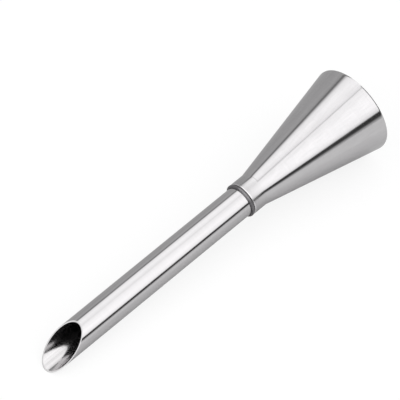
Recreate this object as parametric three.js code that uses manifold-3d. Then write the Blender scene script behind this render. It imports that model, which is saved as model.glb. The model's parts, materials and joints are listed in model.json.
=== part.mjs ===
// Filling nozzle for a piping bag: a long outlet tube with a slanted tip, a sheet-metal funnel that
// seats in the bag, a locking ring at the funnel's neck, and the braze that seals the joint inside.
//
// Millimetres, +Z up. The nozzle lies on its side, on the funnel's rim and the tube's sharp tip, as it
// rests on a table. +X runs from the tip towards the funnel's mouth. The origin is on the table, under
// the middle of the nozzle's bounding box.

import * as THREE from "three";
import { mergeVertices } from "three/addons/utils/BufferGeometryUtils.js";
import Module from "manifold-3d";

// --- driving dimensions ---------------------------------------------------------------------------
const totalLength = 132; // sharp tip to mouth, along the axis
const tubeOuterRadius = 5;
const tubeWall = 0.35;
const tipCutAngle = THREE.MathUtils.degToRad(34.8); // between the slanted cut and the tube's axis
const tipToRing = 82;
const ringWidth = 0.9;
const ringOuterRadius = 5.72;
const ringRound = 0.4; // rounded outer edges of the ring
const ringGroove = 0.15; // between the ring and the end of the neck
const neckLength = 5.2;
const coneHalfAngle = THREE.MathUtils.degToRad(11.78);
const bendRadius = 1.2; // outside of the sheet, where the neck turns into the cone
const sheet = 0.5; // funnel sheet thickness
const jointGap = 0.15; // between the tube and the funnel, filled with braze
const lipLength = 2.2; // tube's inlet lip, pressed out along the inside of the cone
const filletLength = 1.1; // braze past the lip, along the inside of the cone
const clearance = 0.03; // keeps touching pieces apart

const sides = 64; // facets around the axis
const arcSteps = 4; // facets along a bend or a fillet

// --- worked-out dimensions ------------------------------------------------------------------------
const neckOuterRadius = tubeOuterRadius + jointGap + sheet;
const neckStart = tipToRing + ringWidth + ringGroove;
const bendStart = neckStart + neckLength;
const coneStart = bendStart + bendRadius * Math.sin(coneHalfAngle);
const coneStartRadius = neckOuterRadius + bendRadius * (1 - Math.cos(coneHalfAngle));
const mouthOuterRadius = coneStartRadius + (totalLength - coneStart) * Math.tan(coneHalfAngle);
const restTilt = Math.atan((mouthOuterRadius - tubeOuterRadius) / totalLength);

// Depths under the funnel's outside, measured square to the wall.
const tubeDepth = sheet + jointGap;
const boreDepth = tubeDepth + tubeWall;

// --- outlines: points of [radius, height along the axis] --------------------------------------------

// A point on the cone's wall, `along` it from the end of the bend.
function onCone(along, depth) {
  return [
    coneStartRadius + along * Math.sin(coneHalfAngle) - depth * Math.cos(coneHalfAngle),
    coneStart + along * Math.cos(coneHalfAngle) + depth * Math.sin(coneHalfAngle),
  ];
}

// The point on the cone's wall that lies in the mouth's plane.
function atMouth(depth) {
  const fromBend = totalLength - coneStart - depth * Math.sin(coneHalfAngle);
  return onCone(fromBend / Math.cos(coneHalfAngle), depth);
}

// An arc about a centre, from one angle to another.
function arc(centre, radius, from, to) {
  return Array.from({ length: arcSteps + 1 }, (_, step) => {
    const angle = from + ((to - from) * step) / arcSteps;
    return [centre[0] + radius * Math.cos(angle), centre[1] + radius * Math.sin(angle)];
  });
}

// The bend from the neck into the cone, upwards.
function bend(depth) {
  const centre = [neckOuterRadius + bendRadius, bendStart];
  return arc(centre, bendRadius + depth, Math.PI, Math.PI - coneHalfAngle);
}

// Turns an outline round the axis. It runs round its metal anticlockwise: outside up, inside down.
function turned(outline) {
  const points = [...outline, outline[0]].map(([radius, height]) => new THREE.Vector2(radius, height));
  return new THREE.LatheGeometry(points, sides, Math.PI / sides);
}

// --- booleans -------------------------------------------------------------------------------------
const wasm = await Module();
wasm.setup();

function solidOf(geometry) {
  const bare = geometry.clone();
  bare.deleteAttribute("normal");
  bare.deleteAttribute("uv");
  const merged = mergeVertices(bare);
  const mesh = new wasm.Mesh({
    numProp: 3,
    vertProperties: new Float32Array(merged.attributes.position.array),
    triVerts: new Uint32Array(merged.index.array),
  });
  return new wasm.Manifold(mesh);
}

function geometryOf(solid) {
  const mesh = solid.getMesh();
  const geometry = new THREE.BufferGeometry();
  geometry.setAttribute("position", new THREE.BufferAttribute(mesh.vertProperties, 3));
  geometry.setIndex(new THREE.BufferAttribute(mesh.triVerts, 1));
  return geometry;
}

// --- the four pieces ------------------------------------------------------------------------------

// One skin of sheet metal: a short neck, a bend and the cone.
function funnelGeometry() {
  return turned([
    [neckOuterRadius, neckStart],
    ...bend(0),
    atMouth(0),
    atMouth(sheet),
    ...bend(sheet).reverse(),
    [neckOuterRadius - sheet, neckStart],
  ]);
}

// What the slanted cut takes off the tube's tip: a wedge over the cut's plane, wider than the tube.
function tipOffcut() {
  const reach = 1.5 * tubeOuterRadius;
  const slope = 1 / Math.tan(tipCutAngle);
  const side = new THREE.Shape([
    new THREE.Vector2(-reach, (tubeOuterRadius - reach) * slope),
    new THREE.Vector2(reach, -reach * slope),
    new THREE.Vector2(reach, (tubeOuterRadius + reach) * slope),
  ]);
  const wedge = new THREE.ExtrudeGeometry(side, { depth: 2 * reach, bevelEnabled: false });
  return wedge.translate(0, 0, -reach).rotateY(-Math.PI / 2);
}

// A drawn tube: the slanted tip, and a lip at the inlet that follows the inside of the cone.
function tubeGeometry() {
  const uncut = turned([
    [tubeOuterRadius, 0],
    ...bend(tubeDepth),
    onCone(lipLength, tubeDepth),
    onCone(lipLength, boreDepth),
    ...bend(boreDepth).reverse(),
    [tubeOuterRadius - tubeWall, 0],
  ]);
  return geometryOf(solidOf(uncut).subtract(solidOf(tipOffcut())));
}

// The narrow, rounded band on the tube, just below the end of the neck.
function ringGeometry() {
  const ringInnerRadius = tubeOuterRadius + clearance;
  const ringTop = tipToRing + ringWidth;
  const crown = ringOuterRadius - ringRound;
  return turned([
    ...arc([crown, tipToRing + ringRound], ringRound, -Math.PI / 2, 0),
    ...arc([crown, ringTop - ringRound], ringRound, 0, Math.PI / 2),
    [ringInnerRadius, ringTop],
    [ringInnerRadius, tipToRing],
  ]);
}

// Filler metal that has run between tube and funnel, with a hollow fillet over the tube's lip.
function brazeGeometry() {
  const outerDepth = sheet + clearance;
  const innerDepth = tubeDepth - clearance;
  const lipTop = lipLength + clearance;
  const fillet = Array.from({ length: arcSteps + 1 }, (_, step) => {
    const angle = ((Math.PI / 2) * step) / arcSteps;
    const along = lipTop + filletLength * (1 - Math.sin(angle));
    return onCone(along, outerDepth + (boreDepth - outerDepth) * (1 - Math.cos(angle)));
  });
  return turned([
    [neckOuterRadius - outerDepth, neckStart],
    ...bend(outerDepth),
    ...fillet,
    onCone(lipTop, innerDepth),
    ...bend(innerDepth).reverse(),
    [neckOuterRadius - innerDepth, neckStart],
  ]);
}

// --- materials and assembly -----------------------------------------------------------------------
const polishedSteel = new THREE.MeshStandardMaterial({ color: 0xc9c8ca, roughness: 0.16, metalness: 1 });
const ringSteel = new THREE.MeshStandardMaterial({ color: 0x78767a, roughness: 0.4, metalness: 1 });
const brazeMetal = new THREE.MeshStandardMaterial({ color: 0xbdb6a6, roughness: 0.42, metalness: 1 });

function piece(name, geometry, material) {
  const mesh = new THREE.Mesh(geometry, material);
  mesh.name = name;
  return mesh;
}

// The pieces stand along +Y here, with the long side of the slanted tip towards -Z.
const nozzle = new THREE.Group();
nozzle.add(
  piece("funnel", funnelGeometry(), polishedSteel),
  piece("outlet_tube", tubeGeometry(), polishedSteel),
  piece("locking_ring", ringGeometry(), ringSteel),
  piece("braze_seal", brazeGeometry(), brazeMetal),
);
nozzle.rotation.z = -Math.PI / 2;

// Laid along +X, and tilted so that both the rim and the tip touch the table.
const laid = new THREE.Group();
laid.add(nozzle);
laid.rotation.y = -restTilt;

const group = new THREE.Group();
group.add(laid);
group.updateMatrixWorld(true);
const box = new THREE.Box3().setFromObject(group, true);
laid.position.set(-(box.min.x + box.max.x) / 2, 0, -box.min.z);

export default group;
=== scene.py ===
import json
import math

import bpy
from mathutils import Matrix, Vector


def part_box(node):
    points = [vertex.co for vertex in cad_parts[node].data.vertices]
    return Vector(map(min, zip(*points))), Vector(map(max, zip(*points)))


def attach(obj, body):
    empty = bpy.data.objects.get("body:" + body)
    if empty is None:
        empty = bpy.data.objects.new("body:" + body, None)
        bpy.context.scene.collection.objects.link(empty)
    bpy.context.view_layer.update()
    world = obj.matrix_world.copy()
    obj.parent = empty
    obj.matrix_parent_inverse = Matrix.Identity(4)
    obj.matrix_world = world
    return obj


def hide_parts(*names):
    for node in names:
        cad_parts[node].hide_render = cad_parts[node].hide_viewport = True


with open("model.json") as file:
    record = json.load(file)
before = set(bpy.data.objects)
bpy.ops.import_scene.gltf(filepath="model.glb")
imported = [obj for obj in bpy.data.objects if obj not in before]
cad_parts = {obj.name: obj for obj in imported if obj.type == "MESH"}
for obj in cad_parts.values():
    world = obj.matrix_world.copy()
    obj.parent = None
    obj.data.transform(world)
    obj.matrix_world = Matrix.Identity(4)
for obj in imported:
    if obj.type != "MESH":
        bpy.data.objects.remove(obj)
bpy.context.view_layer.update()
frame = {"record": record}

# Polished steel filling nozzle for a piping bag, lying on a pale table. Each of the four CAD pieces is
# replaced by a finely turned mesh with deburred edges. A piece is shaped in the nozzle's own
# coordinates, +X along the axis from the tip to the mouth and +Z towards the top, and is then laid
# where the CAD's nozzle lies.

MM = 0.001

# --- sizes, in millimetres, as in the CAD ----------------------------------------------------------
TOTAL_LENGTH = 132
TUBE_RADIUS = 5
TUBE_WALL = 0.35
TIP_CUT_ANGLE = math.radians(34.8)
RING_START = 82
RING_END = 82.9
RING_RADIUS = 5.72
NECK_START = 83.05
NECK_RADIUS = 5.65
NECK_LENGTH = 5.2
SHEET = 0.5
CONE_ANGLE = math.radians(11.78)
BEND_RADIUS = 1.2
JOINT_GAP = 0.15
LIP_LENGTH = 2.2
FILLET_LENGTH = 1.1

# Where the outsides of neck and cone would meet without the bend.
CREASE = NECK_START + NECK_LENGTH + BEND_RADIUS * math.tan(CONE_ANGLE / 2)

# --- finishing sizes, in millimetres ---------------------------------------------------------------
EDGE_ROUND = 0.13
NECK_END_ROUND = 0.34
CUT_ROUND = 0.05
RING_ROUND = 0.4
RIM_ROUND = 1.4  # of the mouth's outer edge, drawn down by polishing
RIM_TURN = math.radians(26)
HOLD = 0.03  # distance of the row that keeps a straight wall straight beside a rounded edge
WAVES = [(7, 0.4), (11, 1.7), (17, 3.1), (26, 4.4), (39, 5.8)]  # bends of the wall round the axis
WAVE_SLOPE = math.radians(0.16)
WAVE_DRIFT = 0.012  # turn of the waves for each millimetre along the axis
MOUTH_EDGE_DROP = 0.2  # of the mouth's outer edge, in from the cone's straight wall
CUT_CLEARANCE = 1  # past the slanted cut, before the first row that is square to the axis
RING_FIT = 0.03
RING_INNER_ROUND = 0.05
BRAZE_FIT = 0.03
BRAZE_INSET = 0.05
BRAZE_UNEVENNESS = 0.02

# The sheet's welded and polished-out seam, at this turn from the top towards -Y.
SEAM_TURN = math.radians(16)
SEAM_WIDTH = 0.16
SEAM_THINNING = 0.05  # share of the sheet's thickness
SEAM_CLEAR = math.radians(6)  # on each side, without evenly spread columns
SEAM_COLUMNS = 16

# A short line of painted shade across the seam's end, on the bend where the neck begins.
CREASE_SHADE_ASIDE = 0.2
CREASE_SHADE_REACH = (1.1, 1.4)  # where the line starts to fade and where it is gone
CREASE_SHADE_WIDTH = (0.04, 0.14)

COLUMNS = 320
ARC_STEPS = 6

# --- the nozzle's place, from the CAD --------------------------------------------------------------
axis = Vector(frame["record"]["mounts"][0]["axis"])
tilt = math.asin(axis.z)
tube_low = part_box("outlet_tube")[0]
tip = Vector((tube_low.x, 0, tube_low.z)) + TUBE_RADIUS * MM * Vector((-axis.z, 0, axis.x))
laid = Matrix.Translation(tip) @ Matrix.Rotation(-tilt, 4, "Y")


# --- outlines: points of (height along the axis, radius) -------------------------------------------
def rounded_corner(before, corner, after, radius):
    """The points of a corner rounded to that radius, with a holding row on each side."""
    here = Vector(corner)
    back = (Vector(before) - here).normalized()
    on = (Vector(after) - here).normalized()
    half = back.angle(on) / 2
    reach = radius / math.tan(half)
    centre = here + (back + on).normalized() * radius / math.sin(half)
    first = here + back * reach - centre
    turn = (here + on * reach - centre).angle_signed(first)
    points = [here + back * (reach + HOLD)]
    for step in range(ARC_STEPS + 1):
        points.append(centre + Matrix.Rotation(turn * step / ARC_STEPS, 2) @ first)
    points.append(here + on * (reach + HOLD))
    return [tuple(p) for p in points]


def rounded(corners):
    """A closed outline from corners (height, radius, rounding); a rounding of 0 is a plain point."""
    outline = []
    for i, (height, radius, rounding) in enumerate(corners):
        if rounding:
            before = corners[i - 1][:2]
            after = corners[(i + 1) % len(corners)][:2]
            outline += rounded_corner(before, (height, radius), after, rounding)
        else:
            outline.append((height, radius))
    return outline


def cone_point(height, depth):
    """A point of the cone's wall at that depth under its outside, at that height."""
    radius = NECK_RADIUS + (height - CREASE) * math.tan(CONE_ANGLE) - depth / math.cos(CONE_ANGLE)
    return height, radius


def crease_point(depth):
    """Where the walls of neck and cone would meet without the bend, at that depth."""
    return CREASE + depth * math.tan(CONE_ANGLE / 2), NECK_RADIUS - depth


def drawn_down_rim():
    """The cone's outside near the mouth: a long, soft round that ends in the turned edge."""
    reach = RIM_ROUND * (math.sin(RIM_TURN - CONE_ANGLE) + math.sin(CONE_ANGLE))
    start = cone_point(TOTAL_LENGTH - EDGE_ROUND - reach, 0)
    centre = Vector(start) + RIM_ROUND * Vector((math.sin(CONE_ANGLE), -math.cos(CONE_ANGLE)))
    points = [(*cone_point(start[0] - HOLD, 0), 0)]
    for step in range(ARC_STEPS + 1):
        lean = RIM_TURN * step / ARC_STEPS - CONE_ANGLE
        height = centre.x + RIM_ROUND * math.sin(lean)
        points.append((height, centre.y + RIM_ROUND * math.cos(lean), 0))
    return points


# --- meshes ----------------------------------------------------------------------------------------
def even_columns():
    return [(math.tau * i / COLUMNS, 0) for i in range(COLUMNS)]


def seam_columns():
    """Columns crowded at the seam: each is a turn, and a width in millimetres beside it."""
    spread = 3 * SEAM_WIDTH
    crowded = [(SEAM_TURN, spread * (2 * i / SEAM_COLUMNS - 1)) for i in range(SEAM_COLUMNS + 1)]
    first = SEAM_TURN + SEAM_CLEAR
    rest = math.tau - 2 * SEAM_CLEAR
    return crowded + [(first + rest * i / COLUMNS, 0) for i in range(COLUMNS + 1)]


def waviness(height, radius, angle):
    """How far the wall stands out: a mirror shows waves of a few thousandths of a millimetre."""
    drift = WAVE_DRIFT * height
    bends = sum(math.sin(count * angle + start + drift) / count for count, start in WAVES)
    return bends * radius * WAVE_SLOPE


def turned(name, outline_at, columns, shape=None):
    """A closed outline, which may change with the turn, carried once round the axis."""
    points = []
    for turn, aside in columns:
        for height, radius in outline_at(turn):
            angle = turn + aside / radius
            if shape:
                radius = shape(height, radius, turn, aside)
            radius += waviness(height, radius, angle)
            points.append((height * MM, -radius * math.sin(angle) * MM, radius * math.cos(angle) * MM))
    rows = len(points) // len(columns)
    faces = []
    for c in range(len(columns)):
        d = (c + 1) % len(columns)
        for r in range(rows):
            s = (r + 1) % rows
            faces.append((c * rows + r, d * rows + r, d * rows + s, c * rows + s))
    mesh = bpy.data.meshes.new(name)
    mesh.from_pydata(points, [], faces)
    mesh.transform(laid)
    mesh.update()
    mesh.shade_smooth()
    piece = bpy.data.objects.new(name, mesh)
    bpy.context.scene.collection.objects.link(piece)
    return piece


# --- the four pieces -------------------------------------------------------------------------------
def make_funnel():
    outline = rounded([
        (NECK_START, NECK_RADIUS, NECK_END_ROUND),
        (*crease_point(0), BEND_RADIUS),
        *drawn_down_rim(),
        (TOTAL_LENGTH, cone_point(TOTAL_LENGTH, 0)[1] - MOUTH_EDGE_DROP, EDGE_ROUND / 2),
        (*cone_point(TOTAL_LENGTH, SHEET), EDGE_ROUND / 2),
        (*crease_point(SHEET), BEND_RADIUS + SHEET),
        (NECK_START, NECK_RADIUS - SHEET, EDGE_ROUND),
    ])

    def thinned_at_seam(height, radius, turn, aside):
        if turn != SEAM_TURN:
            return radius
        widening = max(height - CREASE, 0) * math.tan(CONE_ANGLE)
        middle = NECK_RADIUS + widening - SHEET / 2
        thinning = SEAM_THINNING * math.exp(-((aside / SEAM_WIDTH) ** 2))
        return middle + (radius - middle) * (1 - thinning)

    return turned("funnel_skin", lambda turn: outline, seam_columns(), thinned_at_seam)


def make_tube():
    depth = SHEET + JOINT_GAP
    lip_end = CREASE + LIP_LENGTH
    full_round = 2 * TUBE_RADIUS / math.tan(TIP_CUT_ANGLE) + CUT_CLEARANCE

    def cut(radius, turn):
        """The height at which the slanted cut meets that radius."""
        return (TUBE_RADIUS + radius * math.cos(turn)) / math.tan(TIP_CUT_ANGLE)

    def outline_at(turn):
        inner = TUBE_RADIUS - TUBE_WALL
        return rounded([
            (cut(TUBE_RADIUS, turn), TUBE_RADIUS, CUT_ROUND),
            (full_round, TUBE_RADIUS, 0),
            (*crease_point(depth), BEND_RADIUS + depth),
            (*cone_point(lip_end, depth), EDGE_ROUND),
            (*cone_point(lip_end, depth + TUBE_WALL), EDGE_ROUND),
            (*crease_point(depth + TUBE_WALL), BEND_RADIUS + depth + TUBE_WALL),
            (full_round, inner, 0),
            (cut(inner, turn), inner, CUT_ROUND),
        ])

    return turned("outlet_tube_drawn", outline_at, even_columns())


def make_ring():
    inner = TUBE_RADIUS + RING_FIT
    outline = rounded([
        (RING_START, RING_RADIUS, RING_ROUND),
        (RING_END, RING_RADIUS, RING_ROUND),
        (RING_END, inner, RING_INNER_ROUND),
        (RING_START, inner, RING_INNER_ROUND),
    ])
    return turned("locking_ring_band", lambda turn: outline, even_columns())


def make_braze():
    outer = SHEET + BRAZE_FIT
    inner = SHEET + JOINT_GAP - BRAZE_FIT
    end = NECK_START + BRAZE_INSET
    lip = CREASE + LIP_LENGTH + BRAZE_INSET
    bore = SHEET + JOINT_GAP + TUBE_WALL
    hollow = []
    for step in range(ARC_STEPS + 1):
        angle = math.pi / 2 * step / ARC_STEPS
        depth = outer + (bore - outer) * (1 - math.cos(angle))
        hollow.append((*cone_point(lip + FILLET_LENGTH * (1 - math.sin(angle)), depth), 0))
    outline = rounded([
        (end, NECK_RADIUS - outer, 0),
        (*crease_point(outer), BEND_RADIUS + outer),
        *hollow,
        (*cone_point(lip, inner), 0),
        (*crease_point(inner), BEND_RADIUS + inner),
        (end, NECK_RADIUS - inner, 0),
    ])

    def uneven(height, radius, turn, aside):
        """The filler ran in unevenly, and it shows past the lip."""
        if height <= lip:
            return radius
        return radius + BRAZE_UNEVENNESS * math.sin(5 * turn + 1) * math.sin(13 * turn)

    return turned("braze_fillet", lambda turn: outline, even_columns(), uneven)


# --- materials -------------------------------------------------------------------------------------
# Colours, and how far each metal's roughness, polishing lines and tone go.
STEEL = (0.565, 0.555, 0.563)
STEEL_FINISH = (0.09, 0.02, 0.035)
BORE = (0.55, 0.54, 0.545)
BORE_FINISH = (0.15, 0.03, 0.08)
FUNNEL_INSIDE = (0.66, 0.65, 0.655)
FUNNEL_INSIDE_FINISH = (0.46, 0.1, 0.08)
FUNNEL_INSIDE_METALLIC = 0.75  # a dull, spun surface that scatters some light
RING = (0.2, 0.195, 0.202)
RING_FINISH = (0.36, 0.05, 0.12)
BRAZE = (0.5, 0.47, 0.42)
BRAZE_FINISH = (0.42, 0.2, 0.1)

# Stretch of each noise, along the axis and across it, and its share in the tone.
SCRATCHES, SCRATCH_SHARE = (5200, 70, 70), 0.3
STREAKS, STREAK_SHARE = (30, 1300, 1300), 0.4
PATCHES, PATCH_SHARE = (60, 160, 160), 0.3
POLISH_DEPTH = 0.05  # millimetres

NECK_TONE = 0.87
# Painted highlight: the base colour is made brighter along the neck's end edge.
NECK_EDGE_HIGHLIGHT_TONE = 1.35  # the bright end edge of the neck
NECK_DULLNESS = 0.15  # added to the roughness
SEAM_TONE = 0.72
SEAM_DULLNESS = 0.2
CREASE_SHADE_TONE = 0.75


class Nodes:
    """Short calls for building a material's nodes."""

    def __init__(self, name):
        self.material = bpy.data.materials.new(name)
        self.material.use_nodes = True
        self.tree = self.material.node_tree
        self.shader = self.tree.nodes["Principled BSDF"]

    def link(self, value, socket):
        if isinstance(value, bpy.types.NodeSocket):
            self.tree.links.new(value, socket)
        else:
            socket.default_value = value

    def math(self, operation, *values):
        node = self.tree.nodes.new("ShaderNodeMath")
        node.operation = operation
        for value, socket in zip(values, node.inputs):
            self.link(value, socket)
        return node.outputs[0]

    def ramp(self, value, low, high, to_low, to_high):
        node = self.tree.nodes.new("ShaderNodeMapRange")
        for item, socket in zip((value, low, high, to_low, to_high), node.inputs):
            self.link(item, socket)
        return node.outputs[0]

    def along_axis(self):
        """A point in the nozzle's own coordinates, whose X is its axis."""
        place = self.tree.nodes.new("ShaderNodeTexCoord")
        node = self.tree.nodes.new("ShaderNodeMapping")
        back = laid.inverted()
        node.inputs["Rotation"].default_value = back.to_euler()
        node.inputs["Location"].default_value = back.translation
        self.link(place.outputs["Object"], node.inputs["Vector"])
        return node.outputs[0]

    def scaled(self, point, scale):
        node = self.tree.nodes.new("ShaderNodeMapping")
        node.inputs["Scale"].default_value = scale
        self.link(point, node.inputs["Vector"])
        return node.outputs[0]

    def noise(self, point, detail):
        node = self.tree.nodes.new("ShaderNodeTexNoise")
        node.inputs["Scale"].default_value = 1
        node.inputs["Detail"].default_value = detail
        self.link(point, node.inputs["Vector"])
        return node.outputs["Fac"]

    def split(self, point):
        node = self.tree.nodes.new("ShaderNodeSeparateXYZ")
        self.link(point, node.inputs[0])
        return node.outputs

    def shade(self, colour, level):
        """The colour, times a level that changes over the surface."""
        node = self.tree.nodes.new("ShaderNodeMix")
        node.data_type = "RGBA"
        node.blend_type = "MULTIPLY"
        node.inputs["Factor"].default_value = 1
        node.inputs["A"].default_value = (*colour, 1)
        self.link(level, node.inputs["B"])
        return node.outputs["Result"]


def metal(name, colour, roughness, lines, variation, metallic=1):
    """Polished metal: fine lines round the axis, streaks along it, and a patchy gloss and tone."""
    nodes = Nodes(name)
    point = nodes.along_axis()
    scratches = nodes.noise(nodes.scaled(point, SCRATCHES), 3)
    streaks = nodes.noise(nodes.scaled(point, STREAKS), 2)
    patches = nodes.noise(nodes.scaled(point, PATCHES), 4)
    tone = nodes.math("ADD", nodes.math("MULTIPLY", scratches, SCRATCH_SHARE),
                      nodes.math("MULTIPLY", streaks, STREAK_SHARE))
    tone = nodes.math("ADD", tone, nodes.math("MULTIPLY", patches, PATCH_SHARE))
    level = nodes.ramp(tone, 0.4, 0.6, 1 - variation, 1 + variation)
    gloss = nodes.ramp(patches, 0.25, 0.75, roughness * 0.8, roughness * 1.25)
    nodes.shader.inputs["Metallic"].default_value = metallic
    nodes.link(nodes.shade(colour, level), nodes.shader.inputs["Base Color"])
    nodes.link(gloss, nodes.shader.inputs["Roughness"])
    bump = nodes.tree.nodes.new("ShaderNodeBump")
    bump.inputs["Strength"].default_value = lines
    bump.inputs["Distance"].default_value = POLISH_DEPTH * MM
    nodes.link(scratches, bump.inputs["Height"])
    nodes.link(bump.outputs["Normal"], nodes.shader.inputs["Normal"])
    return nodes, point, level, gloss


def seamed_metal(name, colour, roughness, lines, variation):
    """The same metal, with a satin neck whose end edge has a painted highlight, the dull line of the
    polished-out seam on the cone, and a short line of painted shade across the bend where the seam
    ends."""
    nodes, point, level, gloss = metal(name, colour, roughness, lines, variation)
    x, y, z = nodes.split(point)
    beside = nodes.math("ADD", nodes.math("MULTIPLY", y, math.cos(SEAM_TURN)),
                        nodes.math("MULTIPLY", z, math.sin(SEAM_TURN)))
    distance = nodes.math("ABSOLUTE", beside)
    line = nodes.ramp(distance, 0.5 * SEAM_WIDTH * MM, 1.6 * SEAM_WIDTH * MM, 1, 0)
    on_cone = nodes.ramp(x, (CREASE - 0.4) * MM, CREASE * MM, 0, 1)
    upper_side = nodes.ramp(z, 0, MM, 0, 1)
    seam = nodes.math("MULTIPLY", nodes.math("MULTIPLY", line, on_cone), upper_side)
    # Painted shade: the base colour is darkened in a short line across the bend between neck and cone.
    along = nodes.math("ABSOLUTE", nodes.math("SUBTRACT", x, CREASE * MM))
    across = nodes.math("ABSOLUTE", nodes.math("ADD", y, CREASE_SHADE_ASIDE * MM))
    crease_shade = nodes.math("MULTIPLY", nodes.ramp(along, CREASE_SHADE_WIDTH[0] * MM, CREASE_SHADE_WIDTH[1] * MM, 1, 0),
                      nodes.ramp(across, CREASE_SHADE_REACH[0] * MM, CREASE_SHADE_REACH[1] * MM, 1, 0))
    crease_shade = nodes.math("MULTIPLY", crease_shade, upper_side)
    darker = nodes.math("MULTIPLY", level, nodes.ramp(seam, 0, 1, 1, SEAM_TONE))
    darker = nodes.math("MULTIPLY", darker, nodes.ramp(crease_shade, 0, 1, 1, CREASE_SHADE_TONE))
    past_neck = nodes.ramp(x, (NECK_START + 0.5) * MM, (CREASE + 0.5) * MM, 0, 1)
    darker = nodes.math("MULTIPLY", darker, nodes.ramp(past_neck, 0, 1, NECK_TONE, 1))
    # Painted highlight: the base colour is brightened at the neck's end edge.
    past_edge_highlight = nodes.ramp(x, (NECK_START + 0.3) * MM, (NECK_START + 0.45) * MM, 0, 1)
    darker = nodes.math("MULTIPLY", darker, nodes.ramp(past_edge_highlight, 0, 1, NECK_EDGE_HIGHLIGHT_TONE, 1))
    duller = nodes.math("ADD", gloss, nodes.math("MULTIPLY", seam, SEAM_DULLNESS))
    duller = nodes.math("ADD", duller, nodes.ramp(past_neck, 0, 1, NECK_DULLNESS, 0))
    nodes.link(nodes.shade(colour, darker), nodes.shader.inputs["Base Color"])
    nodes.link(duller, nodes.shader.inputs["Roughness"])
    return nodes.material


def dress(piece, material, node, inside=None):
    """Puts the material on; `inside` goes on the faces that look towards the axis."""
    mesh = piece.data
    mesh.materials.append(material)
    if inside:
        mesh.materials.append(inside)
        back = laid.inverted()
        inward = back.to_3x3()
        for face in mesh.polygons:
            centre = back @ face.center
            normal = inward @ face.normal
            if normal.y * centre.y + normal.z * centre.z < -0.3 * math.hypot(centre.y, centre.z):
                face.material_index = 1
    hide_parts(node)
    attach(piece, "root")


outside = metal("polished_steel", STEEL, *STEEL_FINISH)[0].material
seamed = seamed_metal("polished_steel_seamed", STEEL, *STEEL_FINISH)
bore = metal("drawn_steel_inside", BORE, *BORE_FINISH)[0].material
funnel_inside = metal(
    "spun_steel_inside", FUNNEL_INSIDE, *FUNNEL_INSIDE_FINISH, FUNNEL_INSIDE_METALLIC
)[0].material
ring_steel = metal("ring_steel", RING, *RING_FINISH)[0].material
braze = metal("braze_metal", BRAZE, *BRAZE_FINISH)[0].material
dress(make_funnel(), seamed, "funnel", funnel_inside)
dress(make_tube(), outside, "outlet_tube", bore)
dress(make_ring(), ring_steel, "locking_ring")
dress(make_braze(), braze, "braze_seal")


# --- stage -----------------------------------------------------------------------------------------
def flat(name, corners):
    mesh = bpy.data.meshes.new(name)
    mesh.from_pydata(corners, [], [tuple(range(len(corners)))])
    sheet = bpy.data.objects.new(name, mesh)
    bpy.context.scene.collection.objects.link(sheet)
    return sheet


FLOOR_REFLECTED = 0.66  # the floor's tone in the metal
# Painted shadow: in the metal, the floor is reflected darker close to the nozzle.
FLOOR_SHADOW_TONE = 0.5  # its tone there close to the nozzle
FLOOR_SEEN = 0.14  # its tone for the camera, on top of its glow
FLOOR_GLOW = 0.83
FLOOR_HALF = 4
FLOOR_NEAR, FLOOR_FAR = 0.005, 0.05  # metres from the axis, between which the reflected tone changes


def make_floor():
    """Pale paper. Its own glow, for the camera only, keeps the contact shadow faint, and the metal
    reflects it in a darker tone, with a painted shadow that darkens it further close to the nozzle."""
    half = FLOOR_HALF
    floor = flat("floor", [(-half, -half, 0), (half, -half, 0), (half, half, 0), (-half, half, 0)])
    nodes = Nodes("pale_floor")
    nodes.shader.inputs["Roughness"].default_value = 0.9
    nodes.shader.inputs["Specular IOR Level"].default_value = 0
    rays = nodes.tree.nodes.new("ShaderNodeLightPath").outputs["Is Camera Ray"]
    place = nodes.tree.nodes.new("ShaderNodeTexCoord").outputs["Object"]
    aside = nodes.math("ABSOLUTE", nodes.split(place)["Y"])
    # Painted shadow: the reflected tone darkens towards the nozzle's axis.
    reflected_with_shadow = nodes.ramp(aside, FLOOR_NEAR, FLOOR_FAR, FLOOR_SHADOW_TONE, FLOOR_REFLECTED)
    tone = nodes.ramp(rays, 0, 1, reflected_with_shadow, FLOOR_SEEN)
    nodes.link(nodes.shade((1, 1, 1), tone), nodes.shader.inputs["Base Color"])
    nodes.shader.inputs["Emission Color"].default_value = (1, 1, 1, 1)
    nodes.link(nodes.math("MULTIPLY", rays, FLOOR_GLOW), nodes.shader.inputs["Emission Strength"])
    floor.data.materials.append(nodes.material)


# Brightness of the light tent by the angle in degrees up from the near horizon (-Y), over the top
# (90) to the far horizon (180).
TENT = [
    (0, 0.75),
    (4, 0.45),
    (8, 0.08),
    (15, 0.04),
    (18, 0.08),
    (20, 1.15),
    (27, 1.5),
    (37, 1.65),
    (52, 1.7),
    (68, 1.6),
    (82, 1.48),
    (88, 1.3),
    (94, 1.45),
    (108, 1.58),
    (120, 1.5),
    (127, 1.35),
    (133, 0.8),
    (137, 0.28),
    (140, 0.2),
    (144, 0.5),
    (150, 0.56),
    (162, 0.52),
    (180, 0.5),
]


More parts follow.
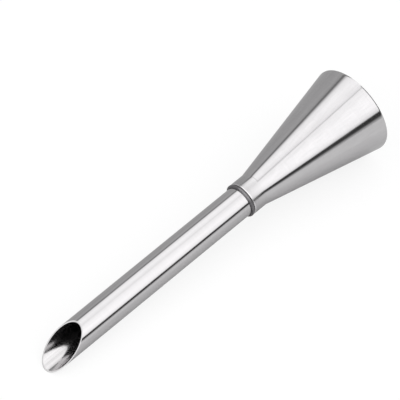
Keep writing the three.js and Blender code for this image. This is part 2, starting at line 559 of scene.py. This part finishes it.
def make_world():
    world = bpy.data.worlds.new("light_tent")
    bpy.context.scene.world = world
    world.use_nodes = True
    nodes = world.node_tree.nodes
    links = world.node_tree.links
    background = nodes["Background"]

    direction = nodes.new("ShaderNodeTexCoord")
    split = nodes.new("ShaderNodeSeparateXYZ")
    links.new(direction.outputs["Generated"], split.inputs["Vector"])
    near = nodes.new("ShaderNodeMath")
    near.operation = "MULTIPLY"
    near.inputs[1].default_value = -1
    links.new(split.outputs["Y"], near.inputs[0])
    angle = nodes.new("ShaderNodeMath")
    angle.operation = "ARCTAN2"
    links.new(split.outputs["Z"], angle.inputs[0])
    links.new(near.outputs[0], angle.inputs[1])
    share = nodes.new("ShaderNodeMath")
    share.operation = "DIVIDE"
    share.inputs[1].default_value = math.pi
    links.new(angle.outputs[0], share.inputs[0])

    ramp = nodes.new("ShaderNodeValToRGB")
    brightest = max(level for _, level in TENT)
    steps = ramp.color_ramp.elements
    while len(steps) < len(TENT):
        steps.new(1)
    for step, (degrees, _) in zip(steps, TENT):
        step.position = degrees / 180
    for step, (_, level) in zip(steps, TENT):
        step.color = (*[level / brightest] * 3, 1)
    links.new(share.outputs[0], ramp.inputs["Fac"])

    rays = nodes.new("ShaderNodeLightPath")
    seen = nodes.new("ShaderNodeMix")
    seen.data_type = "RGBA"
    links.new(rays.outputs["Is Camera Ray"], seen.inputs["Factor"])
    links.new(ramp.outputs["Color"], seen.inputs["A"])
    seen.inputs["B"].default_value = (*[1 / brightest] * 3, 1)
    links.new(seen.outputs["Result"], background.inputs["Color"])
    background.inputs["Strength"].default_value = brightest


def make_card(name, corners, level):
    """A card that only the metal reflects."""
    card = flat(name, corners)
    nodes = Nodes(name)
    nodes.tree.nodes.remove(nodes.shader)
    glow = nodes.tree.nodes.new("ShaderNodeEmission")
    glow.inputs["Color"].default_value = (level, level, level, 1)
    nodes.link(glow.outputs[0], nodes.tree.nodes["Material Output"].inputs["Surface"])
    card.data.materials.append(nodes.material)
    card.visible_camera = False
    card.visible_diffuse = False
    card.visible_shadow = False


BEHIND_LEVEL = 0.5
FLAG_LEVEL = 0.25
FLAG_PLACE = 0.5
LEFT_LEVEL = 1.7
LEFT_PLACE = -0.5
# The flag is a strip in the shape of an arc, as (y, z) points of its outer and inner edges.
FLAG_OUTER = [(-0.58, 0.03), (-0.56, 0.2), (-0.42, 0.43), (-0.2, 0.6), (0.06, 0.66)]
FLAG_INNER = [(0.06, 0.38), (-0.05, 0.36), (-0.18, 0.29), (-0.27, 0.18), (-0.3, 0.03)]
LEFT_CORNERS = [(-0.4, 0.03), (0.12, 0.03), (0.12, 1.2), (-0.4, 1.2)]


def make_cards():
    near, far, half, low = 0.002, 3.9, 3.9, 0.02 * MM
    behind = [(-half, near, low), (half, near, low), (half, far, low), (-half, far, low)]
    make_card("grey_card_behind", behind, BEHIND_LEVEL)
    flag = [(FLAG_PLACE, y, z) for y, z in FLAG_OUTER + FLAG_INNER]
    make_card("black_flag_at_the_mouth", flag, FLAG_LEVEL)
    make_card("white_card_left", [(LEFT_PLACE, y, z) for y, z in LEFT_CORNERS], LEFT_LEVEL)


CAMERA_AZIMUTH = math.radians(-47.2)
CAMERA_ELEVATION = math.radians(48.47)
CAMERA_ROLL = math.radians(2.32)
CAMERA_DISTANCE = 1.0842
CAMERA_AIM = Vector((0.0047, 0.0066, 0.0147))


def make_camera():
    back = Vector((
        math.sin(CAMERA_AZIMUTH) * math.cos(CAMERA_ELEVATION),
        -math.cos(CAMERA_AZIMUTH) * math.cos(CAMERA_ELEVATION),
        math.sin(CAMERA_ELEVATION),
    ))
    camera = bpy.data.cameras.new("camera")
    camera.sensor_width = 36
    camera.lens = 324
    camera.clip_end = 50
    eye = bpy.data.objects.new("camera", camera)
    bpy.context.scene.collection.objects.link(eye)
    eye.rotation_mode = "QUATERNION"
    rolled = Matrix.Rotation(CAMERA_ROLL, 3, "Z").to_quaternion()
    eye.rotation_quaternion = (-back).to_track_quat("-Z", "Y") @ rolled
    eye.location = CAMERA_AIM + back * CAMERA_DISTANCE
    bpy.context.scene.camera = eye


make_floor()
make_world()
make_cards()
make_camera()
bpy.context.scene.view_settings.view_transform = "Standard"
